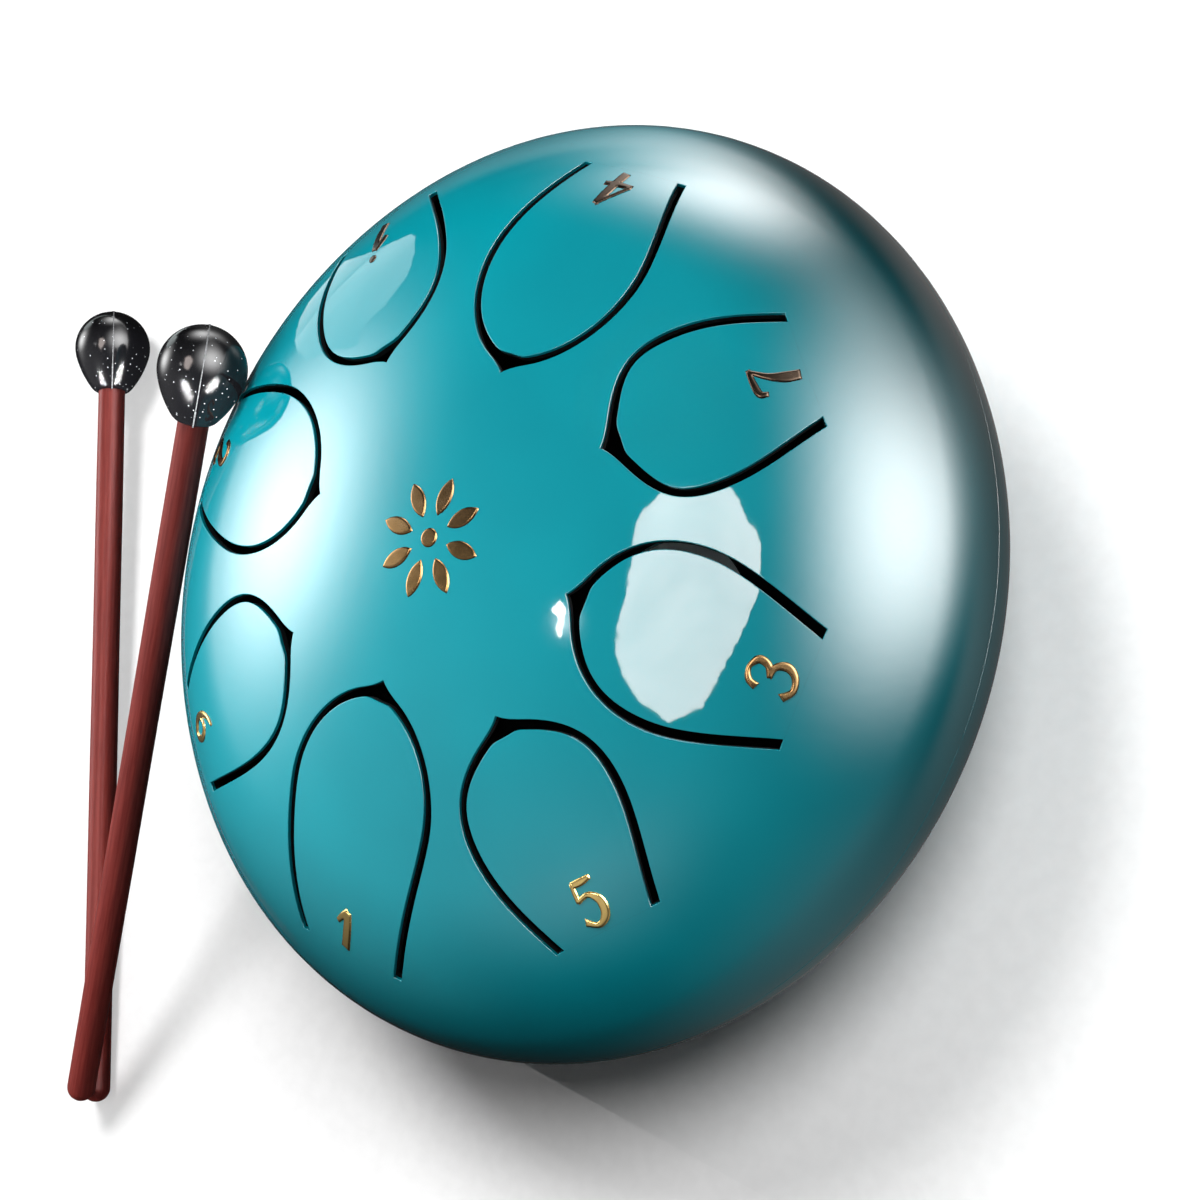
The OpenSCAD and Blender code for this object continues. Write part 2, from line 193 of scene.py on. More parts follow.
def makeFootRubber():
    # Soft moulded rubber: matt charcoal, mottled a little.
    material, tree = newMaterial("mattMouldedRubber")
    place = addNode(tree, "NewGeometry")
    grain = addNode(tree, "TexNoise", {"Vector": place}, Scale=1 / (0.5 * mm), Detail=4.0)
    tone = addNode(tree, "ValToRGB", {"Fac": grain})
    rampColors(tone, [(0.3, "#17181a"), (0.7, "#26282a")])
    bump = addNode(tree, "Bump", {"Height": grain}, Strength=0.4, Distance=0.04 * mm)
    shader = addNode(tree, "BsdfPrincipled", {"Base Color": tone, "Normal": bump},
                     IOR=1.52, Metallic=0.0, Roughness=0.62)
    addNode(tree, "OutputMaterial", {"Surface": shader})
    return material


stickLook = {"light": "#86322b", "dark": "#671d1a", "grainMm": 0.5, "grainRun": 24}


def makeStickLacquer(name, axis):
    # Turned hardwood under red-brown gloss lacquer: the grain only just shows through.
    material, tree = newMaterial(name)
    place = addNode(tree, "NewGeometry")
    turn = Vector((0, 0, 1)).rotation_difference(Vector(axis)).inverted().to_euler()
    local = addNode(tree, "Mapping", {"Vector": place}, {"vector_type": "POINT"}, Rotation=tuple(turn))
    stretch = (1, 1, 1 / stickLook["grainRun"])
    squeeze = addNode(tree, "VectorMath", {0: local, 1: stretch}, {"operation": "MULTIPLY"})
    grain = addNode(tree, "TexNoise", {"Vector": squeeze},
                    Scale=1 / (stickLook["grainMm"] * mm), Detail=4.0, Roughness=0.6)
    tone = addNode(tree, "ValToRGB", {"Fac": grain})
    rampColors(tone, [(0.3, stickLook["dark"]), (0.7, stickLook["light"])])
    bump = addNode(tree, "Bump", {"Height": grain}, Strength=0.3, Distance=0.02 * mm)
    shader = addNode(tree, "BsdfPrincipled", {"Base Color": tone, "Normal": bump},
                     IOR=1.5, Metallic=0.0, Roughness=0.55, Specular_IOR_Level=0.15,
                     Coat_Weight=0.12, Coat_Roughness=0.25)
    addNode(tree, "OutputMaterial", {"Surface": shader})
    return material


lacquer = makeLacquer()
insideShadeBlack = makeInsideShade()
foilGold = makeFoil()
headRubber = makeHeadRubber()
mouldLineHighlight = makeMouldLineHighlight()
footRubber = makeFootRubber()
print("materials made")


body = {"radius": 76.0, "half": 35.8, "seamZ": 39.6, "sheet": 1.5, "crownStep": 99.0, "hole": 15.0,
        "weldHalf": 1.2, "weldDepth": 1.0, "bevel": 0.13, "enamel": 0.55, "rootGap": 0.01, "grid": 1.5,  # mm
        "around": 360, "skinRows": 60, "liningRows": 40, "beadRows": 5}
crownDir = (0.352, 0.936)  # where the crown meets the shoulder, and the shoulder the rim
shoulderDir = (0.8, 0.6)


def bodyArcs():
    rest = body["radius"] - body["half"] - body["crownStep"] * (crownDir[0] + crownDir[1] - 1)
    shoulderStep = rest / (shoulderDir[0] + shoulderDir[1] - 1)
    rimX = body["crownStep"] * crownDir[0] + shoulderStep * shoulderDir[0]
    rimR = body["radius"] - rimX
    shoulderR = rimR + shoulderStep
    crownR = shoulderR + body["crownStep"]
    crownEnd, shoulderEnd = math.atan2(*crownDir), math.atan2(*shoulderDir)
    centres = [(0, body["half"] - crownR), None, (rimX, 0)]
    centres[1] = (body["crownStep"] * crownDir[0], centres[0][1] + body["crownStep"] * crownDir[1])
    turns = [0, crownEnd, shoulderEnd, math.pi / 2]
    radii = [crownR, shoulderR, rimR]
    runs = np.cumsum([0] + [radii[k] * (turns[k + 1] - turns[k]) for k in range(3)])
    return np.array(centres), np.array(radii), np.array(turns), runs


arcCentres, arcRadii, arcTurns, arcRuns = bodyArcs()
seamRun = arcRuns[-1]
weldRun = seamRun - body["weldHalf"]


def circle(count):
    t = np.arange(count) * 2 * math.pi / count
    return np.c_[np.cos(t), np.sin(t)]


spokes = circle(body["around"])
flatSpokes = np.c_[spokes, np.zeros(len(spokes))]


def arcAt(run):
    k = np.clip(np.searchsorted(arcRuns, run, side="right") - 1, 0, 2)
    return k, arcTurns[k] + (run - arcRuns[k]) / arcRadii[k]


def runOfRadius(r):
    r = np.asarray(r, float)
    crownEdge = arcCentres[0][0] + arcRadii[0] * crownDir[0]
    shoulderEdge = arcCentres[1][0] + arcRadii[1] * shoulderDir[0]
    k = (r > crownEdge).astype(int) + (r > shoulderEdge)
    turn = np.arcsin(np.clip((r - arcCentres[k, 0]) / arcRadii[k], -1, 1))
    return arcRuns[k] + (turn - arcTurns[k]) * arcRadii[k]


def unroll(xy):
    # Flat map of the dome: the distance along the steel replaces the distance in plan.
    xy = np.asarray(xy, float)
    r = np.hypot(xy[:, 0], xy[:, 1])
    return xy * (runOfRadius(r) / np.maximum(r, 1e-9))[:, None]


def onDome(uv, depth=0.0, side=1):
    uv = np.asarray(uv, float)
    run = np.hypot(uv[:, 0], uv[:, 1])
    k, turn = arcAt(run)
    r = arcCentres[k, 0] + (arcRadii[k] - depth) * np.sin(turn)
    z = arcCentres[k, 1] + (arcRadii[k] - depth) * np.cos(turn)
    around = uv / np.maximum(run, 1e-9)[:, None]
    points = np.c_[around * r[:, None], body["seamZ"] + side * z]
    normals = np.c_[around * np.sin(turn)[:, None], side * np.cos(turn)]
    return points, normals


slits = {  # each note's distances from the drum's axis and half widths in millimetres, turns in degrees
    "tip": [22.5, 25.7, 25.7, 26.9, 29.5, 30.6, 30.2, 32.9],
    "belly": [42, 45, 43.5, 46.5, 45.5, 47, 45, 50],
    "bellyHalf": [14.1, 13.6, 13, 14.1, 13.1, 13.2, 12.7, 13.2],
    "root": [65.3, 64, 61, 63.5, 62, 64, 60, 65],
    "rootHalf": [10.1, 9.4, 8.3, 9.3, 8.8, 9.2, 8.9, 9.8],
    "turn": [-0.2, 0, -0.8, 0.9, 0.5, 0, -0.5, 1],
    "place": [0, 6, 2, 4, 1, 7, 3, 5],
    "width": 1.45, "tipGap": 3.3, "flank": (3, 3.6), "flankTurn": 66, "legTurn": 20,
    "tipPull": 1.4, "bellyPull": 7, "legPull": 5.5, "steps": (7, 18, 14)}


def along(turn):
    return np.array([math.cos(math.radians(turn)), math.sin(math.radians(turn))])


def bezier(p, steps):
    t = np.linspace(0, 1, steps + 1)[1:, None]
    return (1 - t) ** 3 * p[0] + 3 * (1 - t) ** 2 * t * p[1] + 3 * (1 - t) * t ** 2 * p[2] + t ** 3 * p[3]


def slitSide(i, side):
    half = side * slits["width"] / 2
    tip, flankDir, legDir = slits["tip"][i], along(slits["flankTurn"]), along(-slits["legTurn"])
    start = np.array([tip + (0 if side > 0 else slits["tipGap"]), 0.0])
    flank = np.array([tip + slits["flank"][0], slits["flank"][1]]) + half * along(slits["flankTurn"] + 90)
    belly = np.array([slits["belly"][i], slits["bellyHalf"][i] + half])
    root = np.array([slits["root"][i], slits["rootHalf"][i] + half / legDir[0]])
    startDir = along(45 if side > 0 else 90)
    tipPull, bellyPull, legPull = slits["tipPull"], slits["bellyPull"], slits["legPull"]
    tipSteps, flankSteps, legSteps = slits["steps"]
    return np.vstack([[start],
                      bezier([start, start + tipPull * startDir, flank - tipPull * flankDir, flank], tipSteps),
                      bezier([flank, flank + bellyPull * flankDir, belly - [bellyPull, 0], belly], flankSteps),
                      bezier([belly, belly + [legPull, 0], root - legPull * legDir, root], legSteps)])


def tongueTurn(i):
    return -90 + slits["place"][i] * 45 + slits["turn"][i]


def turned(xy, degrees):
    c, s = math.cos(math.radians(degrees)), math.sin(math.radians(degrees))
    return np.asarray(xy) @ np.array([[c, s], [-s, c]])


def slitLoop(i):
    # The slit as one closed loop: the shell's edge, an end, the tongue's edge, the other end.
    outer, inner = slitSide(i, 1), slitSide(i, -1)
    flip = np.array([1, -1])
    shellEdge = np.vstack([outer[::-1], (outer * flip)[1:]])
    tongueEdge = np.vstack([(inner * flip)[::-1], inner[1:]])
    return unroll(turned(np.vstack([shellEdge, tongueEdge]), tongueTurn(i))), len(shellEdge)


def pushedOut(loop, distance):
    # Moves a closed loop away from the slit, into the steel, with mitred corners.
    before, after = loop - np.roll(loop, 1, 0), np.roll(loop, -1, 0) - loop
    before /= np.linalg.norm(before, axis=1)[:, None]
    after /= np.linalg.norm(after, axis=1)[:, None]
    area = np.sum(loop[:, 0] * np.roll(loop[:, 1], -1) - loop[:, 1] * np.roll(loop[:, 0], -1))
    sign = 1 if area > 0 else -1
    normal = (np.c_[before[:, 1], -before[:, 0]] + np.c_[after[:, 1], -after[:, 0]]) * sign
    normal /= np.linalg.norm(normal, axis=1)[:, None]
    cosine = np.sum(normal * np.c_[after[:, 1], -after[:, 0]] * sign, axis=1)
    return loop + normal * (distance / np.clip(cosine, 0.5, 1))[:, None], normal


def inside(points, polygon):
    x, y = points[:, 0], points[:, 1]
    result = np.zeros(len(points), bool)
    for (x1, y1), (x2, y2) in zip(polygon, np.roll(polygon, -1, 0)):
        if y1 != y2:
            result ^= ((y1 > y) != (y2 > y)) & (x < (x2 - x1) * (y - y1) / (y2 - y1) + x1)
    return result


def triangulate(points, edges):
    # A Delaunay net that keeps the given edges.
    result = delaunay_2d_cdt([Vector(p) for p in points], edges, [], 0, 1e-5)  # 0: the whole hull
    return np.array([tuple(p) for p in result[0]]), np.array([tuple(f) for f in result[2]])


def hexGrid(limit, step):
    rows = np.arange(-limit, limit, step * 0.866)  # so that the triangles are nearly even-sided
    spots = [(x + (k % 2) * step / 2, y) for k, y in enumerate(rows) for x in np.arange(-limit, limit, step)]
    return np.array(spots)


class Patch:
    # Gathers the points, normals and faces of one piece.
    def __init__(self):
        self.points, self.normals, self.faces, self.slots, self.count = [], [], [], [], 0

    def add(self, points, normals):
        first = self.count
        self.points.append(points)
        self.normals.append(normals)
        self.count += len(points)
        return np.arange(first, self.count)

    def strip(self, rowA, rowB, slot, closed):
        last = len(rowA) if closed else len(rowA) - 1
        for k in range(last):
            n = (k + 1) % len(rowA)
            self.faces.append((rowA[k], rowA[n], rowB[n], rowB[k]))
            self.slots.append(slot)

    def stack(self, rows, slot, closed=True):
        for a, b in zip(rows, rows[1:]):
            self.strip(a, b, slot, closed)

    def net(self, ids, triangles, slot):
        for a, b, c in triangles:
            self.faces.append((ids[a], ids[b], ids[c]))
            self.slots.append(slot)

    def piece(self, name, materials):
        points, normals = np.vstack(self.points) * mm, np.vstack(self.normals)
        return meshPiece(name, points, self.faces, normals, materials, self.slots)


bevelSteps = [(0.0, 0.0), (0.3, 0.06), (0.62, 0.26), (0.87, 0.6), (1.0, 1.0)]  # share inward, share down


def edgeRows(patch, ring, edge, outward):
    # A rolled paint edge and the cut wall: enamel runs a little way down it, and black painted shade lines the
    # rest.
    rows, side = [], np.c_[-outward, np.zeros(len(outward))]
    for across, down in bevelSteps:
        points, up = onDome(ring + (edge - ring) * across, down * body["bevel"])
        lean = math.asin(across)
        rows.append(patch.add(points, up * math.cos(lean) + side * math.sin(lean)))
    wall = [patch.add(onDome(edge, depth)[0], side) for depth in (body["bevel"], body["enamel"], body["sheet"])]
    patch.stack(rows, 0, False)
    patch.stack(wall[:2], 0, False)
    patch.stack(wall[1:], 1, False)


faceNet = {"quick": 1.6, "fromRim": 0.6, "fromRoot": 0.4,  # shares of a step
           "fromSlit": 0.45, "onRoot": 0.01}  # millimetres


def rootOf(ring, shellCount):
    # The middle of a tongue's root and the way out from it. The tongue stays a hair's gap off the shell there.
    middle = (ring[shellCount] + ring[-1]) / 2
    return middle, middle / np.linalg.norm(middle)


def buildFace():
    # One net over the whole face is cut along the slits, then shared out to the shell and the tongues.
    step = body["grid"] * 1.0
    loops = [slitLoop(i) for i in range(len(noteNames))]
    rings = [pushedOut(loop, body["bevel"]) for loop, _ in loops]
    rim = weldRun * spokes
    grid = hexGrid(weldRun, step)
    grid = grid[np.hypot(grid[:, 0], grid[:, 1]) < weldRun - step * faceNet["fromRim"]]
    for loop, _ in loops:
        grid = grid[~(inside(grid, pushedOut(loop, body["bevel"] + faceNet["fromSlit"])[0]))]
    points, edges = [tuple(p) for p in rim], [(k, (k + 1) % len(rim)) for k in range(len(rim))]
    for (loop, shellCount), (ring, _) in zip(loops, rings):
        first = len(points)
        points += [tuple(p) for p in ring]
        edges += [(first + k, first + (k + 1) % len(ring)) for k in range(len(ring))]
        a, b = ring[shellCount], ring[-1]  # the root runs between the tongue's two corners
        width = np.linalg.norm(a - b)
        steps = max(2, int(width / step))
        chord = [a + (b - a) * k / steps for k in range(1, steps)]
        chordIds = [first + shellCount, *range(len(points), len(points) + len(chord)), first + len(ring) - 1]
        points += [tuple(p) for p in chord]
        edges += list(zip(chordIds, chordIds[1:]))
        middle, ahead = rootOf(ring, shellCount)
        off = np.abs((grid - middle) @ ahead)
        grid = grid[(off > step * faceNet["fromRoot"]) | (np.linalg.norm(grid - middle, axis=1) > width / 2)]
    points += [tuple(p) for p in grid]
    uv, triangles = triangulate(points, edges)
    centres = uv[triangles].mean(axis=1)
    keep = np.hypot(centres[:, 0], centres[:, 1]) < weldRun
    owner = np.full(len(triangles), -1)
    for i, ((loop, shellCount), (ring, _)) in enumerate(zip(loops, rings)):
        keep &= ~inside(centres, ring)
        owner[inside(centres, ring[shellCount:])] = i
    patches = []
    for i in range(-1, len(noteNames)):
        patch = Patch()
        mine = triangles[keep & (owner == i)]
        used = np.unique(mine)
        remap = np.full(len(uv), -1)
        remap[used] = np.arange(len(used))
        flat = uv[used]
        if i >= 0:
            middle, ahead = rootOf(rings[i][0], loops[i][1])
            onRoot = np.abs((flat - middle) @ ahead) < faceNet["onRoot"]
            flat = flat - body["rootGap"] * onRoot[:, None] * ahead
        patch.net(patch.add(*onDome(flat)), remap[mine], 0)
        inner, up = onDome(flat, body["sheet"])
        patch.net(patch.add(inner, -up), remap[mine][:, ::-1], 1)
        patches.append(patch)
    for i, ((loop, shellCount), (ring, normal)) in enumerate(zip(loops, rings)):
        shellIds = [len(loop) - 1, *range(shellCount + 1)]
        edgeRows(patches[0], ring[shellIds], loop[shellIds], normal[shellIds])
        tongueRing, tongueLoop = ring[shellCount:].copy(), loop[shellCount:].copy()
        for line in (tongueRing, tongueLoop):
            line[[0, -1]] -= body["rootGap"] * rootOf(ring, shellCount)[1]
        edgeRows(patches[i + 1], tongueRing, tongueLoop, normal[shellCount:])
    rimRows(patches[0], 1)
    return patches


def atSeam(radius):
    return flatSpokes * radius + [0, 0, body["seamZ"]]


def rimRows(patch, side):
    # The weld groove's side and the flat that meets the other half.
    down = np.tile([0, 0, -side], (len(spokes), 1))
    top, _ = onDome(weldRun * spokes, 0, side)
    innerEnd, up = onDome(weldRun * spokes, body["sheet"], side)
    innerEdge = atSeam(body["radius"] - body["sheet"])
    rings = (top, atSeam(body["radius"] - body["weldDepth"]), innerEdge)
    patch.stack([patch.add(ring, down) for ring in rings], 1)
    patch.stack([patch.add(ring, -up) for ring in (innerEdge, innerEnd)], 1)


shellPatch, *tonguePatches = buildFace()
pressed = [lacquer, insideShadeBlack]  # painted outside, black painted shade inside
upperShell = shellPatch.piece("upperHalfWithSlits", pressed)
tongues = [patch.piece(f"tongueOfNote_{note}", pressed) for note, patch in zip(noteNames, tonguePatches)]
print("upper half and tongues made")


def buildLowerHalf():
    patch = Patch()
    edgeRun = float(runOfRadius(body["hole"]))
    holeRun = edgeRun + body["bevel"]
    skinRuns = np.linspace(holeRun, weldRun, body["skinRows"])
    patch.stack([patch.add(*onDome(spokes * run, 0, -1)) for run in skinRuns], 0)
    edge = []
    for across, down in bevelSteps:
        points, up = onDome(spokes * (holeRun - body["bevel"] * across), down * body["bevel"], -1)
        lean = math.asin(across)
        edge.append(patch.add(points, up * math.cos(lean) - flatSpokes * math.sin(lean)))
    patch.stack(edge[::-1], 0)
    depths = (body["sheet"], body["bevel"])
    patch.stack([patch.add(onDome(spokes * edgeRun, depth, -1)[0], -flatSpokes) for depth in depths], 0)
    lining = []
    for run in np.linspace(weldRun, edgeRun, body["liningRows"]):
        points, up = onDome(spokes * run, body["sheet"], -1)
        lining.append(patch.add(points, -up))
    patch.stack(lining, 1)
    rimRows(patch, -1)
    return patch.piece("lowerHalfWithSoundHole", pressed)


def buildWeld():
    # Weld bead, ground flush with both halves and painted with them.
    patch = Patch()
    runs = np.linspace(weldRun, seamRun, body["beadRows"])
    rows = [patch.add(*onDome(spokes * run, 0, 1)) for run in runs]
    rows += [patch.add(*onDome(spokes * run, 0, -1)) for run in runs[::-1]]
    for a, b in zip(rows, rows[1:]):
        patch.strip(b, a, 0, True)
    root = patch.add(atSeam(body["radius"] - body["weldDepth"]), -flatSpokes)
    patch.stack([rows[-1], root, rows[0]], 1)
    return patch.piece("groundWeldBead", pressed)


lowerShell = buildLowerHalf()
weldBead = buildWeld()
print("lower half and weld made")


foil = {"height": 6.9, "thick": 0.25, "gap": 0.43, "shoulder": 0.34, "sunk": 0.004,  # millimetres
        "rosette": 19.0, "petal": 6.0, "petalWidth": 2.7, "dot": 3.0, "petals": 8,
        "highDot": (0.16, 0.7), "highDotRadius": 0.11,  # shares of the number's height
        "grid": 0.14, "quick": 1.8, "strokeSteps": 9, "arcPoints": 17, "dotPoints": 40}
numberStrokes = {  # x, y and half width as shares of the number's height, y towards the middle
    "1": [[(0.12, 0.42, 0.1), (0.08, 0.1, 0.12), (0, -0.25, 0.12), (-0.06, -0.45, 0.12)],
          [(0.12, 0.44, 0.07), (-0.06, 0.28, 0.08), (-0.22, 0.12, 0.06)]],
    "2": [[(-0.3, 0.18, 0.08), (-0.22, 0.38, 0.08), (0.02, 0.45, 0.06), (0.22, 0.3, 0.1), (0.12, 0.02, 0.11),
           (-0.14, -0.2, 0.08), (-0.31, -0.4, 0.07)],
          [(-0.31, -0.39, 0.07), (-0.06, -0.37, 0.1), (0.16, -0.42, 0.08), (0.34, -0.3, 0.05)]],
    "3": [[(-0.29, 0.2, 0.09), (-0.2, 0.38, 0.07), (0.04, 0.45, 0.05), (0.25, 0.32, 0.09), (0.19, 0.12, 0.08),
           (-0.04, 0.03, 0.045)],
          [(-0.04, 0.03, 0.045), (0.2, 0, 0.07), (0.3, -0.2, 0.1), (0.16, -0.39, 0.07), (-0.12, -0.44, 0.06),
           (-0.33, -0.28, 0.09)]],
    "4": [[(0.2, 0.44, 0.06), (-0.04, 0.18, 0.05), (-0.33, -0.14, 0.05)],
          [(-0.37, -0.15, 0.06), (0, -0.15, 0.07), (0.4, -0.13, 0.06)],
          [(0.2, 0.44, 0.09), (0.15, 0.1, 0.12), (0.07, -0.48, 0.12)]],
    "5": [[(0.34, 0.43, 0.05), (0.08, 0.41, 0.08), (-0.15, 0.42, 0.07)],
          [(-0.13, 0.45, 0.05), (-0.17, 0.25, 0.06), (-0.2, 0.06, 0.06)],
          [(-0.22, 0.08, 0.045), (0.08, 0.13, 0.06), (0.27, -0.06, 0.11), (0.2, -0.32, 0.1), (-0.06, -0.45, 0.06),
           (-0.32, -0.3, 0.08)]],
    "6": [[(0.3, 0.45, 0.04), (0.02, 0.34, 0.06), (-0.22, 0.06, 0.09), (-0.25, -0.22, 0.09),
           (-0.02, -0.44, 0.06)],
          [(-0.06, -0.44, 0.05), (0.16, -0.38, 0.08), (0.26, -0.18, 0.09), (0.18, 0, 0.07), (0, 0.06, 0.05),
           (-0.22, -0.08, 0.04)]],
    "7": [[(-0.34, 0.2, 0.06), (-0.28, 0.36, 0.08), (0, 0.41, 0.07), (0.35, 0.43, 0.05)],
          [(0.3, 0.43, 0.05), (0.06, 0.12, 0.08), (-0.08, -0.2, 0.13), (-0.12, -0.48, 0.12)]]}


def smoothLine(p, n):
    p = np.array(p, float)
    out = []
    for i in range(len(p) - 1):
        a, b, c, d = p[max(i - 1, 0)], p[i], p[i + 1], p[min(i + 2, len(p) - 1)]
        for k in range(n + (1 if i == len(p) - 2 else 0)):
            t = k / n
            bend, twist = 2 * a - 5 * b + 4 * c - d, 3 * b - a - 3 * c + d
            out.append(0.5 * (2 * b + (c - a) * t + bend * t ** 2 + twist * t ** 3))
    return np.array(out)


def strokeOutline(line):
    ahead = np.vstack([line[1:], line[-1:]]) - np.vstack([line[:1], line[:-1]])
    ahead = ahead[:, :2] / np.linalg.norm(ahead[:, :2], axis=1)[:, None]
    side = np.c_[-ahead[:, 1], ahead[:, 0]] * line[:, 2:3]
    return np.vstack([line[:, :2] + side, (line[:, :2] - side)[::-1]])


def domedFoil(name, outlines, toPlan):
    # outlines may overlap; the dome rises from their common edge.
    points, edges, everything = [], [], np.vstack(outlines)
    for outline in outlines:
        first = len(points)
        points += [tuple(p) for p in outline]
        edges += [(first + k, first + (k + 1) % len(outline)) for k in range(len(outline))]
    low, high = everything.min(0), everything.max(0)
    step = foil["grid"] * 1.0
    across, upward = np.arange(low[0], high[0], step), np.arange(low[1], high[1], step)
    grid = np.array([(x, y) for x in across for y in upward])
    within = np.zeros(len(grid), bool)
    for outline in outlines:
        within |= inside(grid, outline)
    points += [tuple(p) for p in grid[within]]
    flat, triangles = triangulate(points, edges)
    centres = flat[triangles].mean(axis=1)
    keep = np.zeros(len(triangles), bool)
    for outline in outlines:
        keep |= inside(centres, outline)
    triangles = triangles[keep]
    pairs = np.sort(np.vstack([triangles[:, [0, 1]], triangles[:, [1, 2]], triangles[:, [2, 0]]]), axis=1)
    unique, counts = np.unique(pairs, axis=0, return_counts=True)
    rim = unique[counts == 1]
    used = np.unique(triangles)
    a, b = flat[rim[:, 0]], flat[rim[:, 1]]
    span = b - a
    length = np.maximum(np.sum(span ** 2, axis=1), 1e-12)
    distance = np.empty(len(flat))
    for k in used:
        t = np.clip(np.sum((flat[k] - a) * span, axis=1) / length, 0, 1)
        distance[k] = np.sqrt(np.min(np.sum((a + span * t[:, None] - flat[k]) ** 2, axis=1)))
    share = np.clip(distance[used] / foil["shoulder"], 0, 1)
    rise = foil["thick"] * np.sqrt(1 - (1 - share) ** 2)
    points3d, _ = onDome(unroll(toPlan(flat[used])), foil["sunk"] - rise)
    remap = np.full(len(flat), -1)
    remap[used] = np.arange(len(used))
    return meshPiece(name, points3d * mm, remap[triangles], None, [foilGold])


foilDot = circle(foil["dotPoints"])


def numberPiece(i, note):
    strokes = numberStrokes["1" if note == "high_1" else note]
    outlines = [strokeOutline(smoothLine(s, foil["strokeSteps"])) * foil["height"] for s in strokes]
    if note == "high_1":
        middle = np.array(foil["highDot"]) * foil["height"]
        outlines.append(middle + foil["highDotRadius"] * foil["height"] * foilDot)
    distance = slits["root"][i] - foil["gap"] - foil["height"] / 2
    return domedFoil(f"foilNumber_{note}", outlines,
                     lambda xy: turned(np.c_[distance - xy[:, 1], xy[:, 0]], tongueTurn(i)))


def petalOutline(turn):
    arcR = (foil["petal"] ** 2 + foil["petalWidth"] ** 2) / (4 * foil["petalWidth"])
    reach = math.asin(foil["petal"] / 2 / arcR)
    t = np.linspace(-reach, reach, foil["arcPoints"])
    upper = np.c_[arcR * np.sin(t), arcR * np.cos(t) - (arcR - foil["petalWidth"] / 2)]
    outline = np.vstack([upper, (upper * [1, -1])[::-1][1:-1]])
    return turned(outline + [(foil["rosette"] - foil["petal"]) / 2, 0], turn)


numbers = [numberPiece(i, n) for i, n in enumerate(noteNames)]
petals = [petalOutline(360 / foil["petals"] * k) for k in range(foil["petals"])]
rosette = domedFoil("foilRosette", [foil["dot"] / 2 * foilDot] + petals, lambda xy: xy)
print("foil numbers and rosette made")


def lathe(patch, profile, place, count):
    # profile: (radius, height, normal radius, normal height) from one end to the other.
    rows, ring = [], circle(count)
    for r, h, nr, nh in profile:
        local, normal = np.c_[ring * r, np.full(count, h)], np.c_[ring * nr, np.full(count, nh)]
        rows.append(patch.add((local @ place[0].T) + place[1], normal @ place[0].T))
    patch.stack(rows, 0)
    return rows


def arcProfile(centre, radius, fromDeg, toDeg, steps):
    # Angles from the upright, as in the solid's section.
    return [(centre[0] + radius * math.sin(a), centre[1] + radius * math.cos(a), math.sin(a), math.cos(a))
            for a in np.radians(np.linspace(fromDeg, toDeg, steps))]


feet = {"count": 3, "low": 5.5, "top": 6.5, "edge": 1.0, "flat": 1.2, "at": 32.0, "middle": 0.01,  # millimetres
        "around": 72, "edgeRows": 7, "rows": 9, "firstRow": 0.05, "fits": 3}


def footPiece(k):
    patch, count = Patch(), feet["around"]
    turn = math.radians(-90 + k * 360 / feet["count"])
    centre = np.array([feet["at"] * math.cos(turn), feet["at"] * math.sin(turn)])
    ring, level, down = circle(count), np.full(count, 1.0), np.tile([0, 0, -1], (count, 1))
    flat = feet["low"] - feet["edge"]
    rows = [patch.add(np.c_[centre + ring * r, level * 0], down) for r in (feet["middle"], flat - feet["flat"])]
    for a in np.radians(np.linspace(180, 90, feet["edgeRows"])):
        r, z = flat + feet["edge"] * math.sin(a), feet["edge"] + feet["edge"] * math.cos(a)
        normals = np.c_[ring * math.sin(a), level * math.cos(a)]
        rows.append(patch.add(np.c_[centre + ring * r, level * z], normals))
    slope = (feet["top"] - feet["low"]) / (body["seamZ"] - 2 * feet["edge"])
    for share in np.linspace(feet["firstRow"], 1, feet["rows"]):
        height = level * feet["edge"]
        for _ in range(feet["fits"]):  # the top follows the curved shell
            spots = centre + ring * (feet["low"] + slope * (height - feet["edge"]))[:, None]
            shell = onDome(unroll(spots), 0, -1)[0][:, 2]
            height = feet["edge"] + share * (shell - feet["edge"])
        rows.append(patch.add(np.c_[spots, height], np.c_[ring, -slope * level]))
    patch.stack(rows, 0)
    return patch.piece(f"rubberFoot_{k + 1}", [footRubber])


footPieces = [footPiece(k) for k in range(feet["count"])]

mallets = {"length": 160.5, "stick": 2.7, "head": 7.6, "flank": 20.0, "edge": 2.0, "gap": 0.3,  # millimetres
           "leanTurn": 170, "leanSide": 52.5, "leanHeading": 81, "buttLift": 5.5, "lyingHeading": 115,
           "flashWidth": 0.26, "flashHeight": 0.14, "flashTurns": (-135, -130),  # the raised mould line
           "flashReach": 2.4, "flashSteps": 9, "flashAt": 14, "paleLineShare": 0.4, "leastRadius": 0.5,
           "boreGap": 0.05, "boreLip": (0.02, 0.05), "boreFrom": 0.6,
           "waver": 0.006, "waverRun": 0.11, "stickFrom": 2, "stickInto": 0.5,
           "stickAround": 48, "stickRows": 70, "buttRows": 12,
           "headAround": 96, "ballRows": 40, "flankRows": 18, "edgeRows": 8}


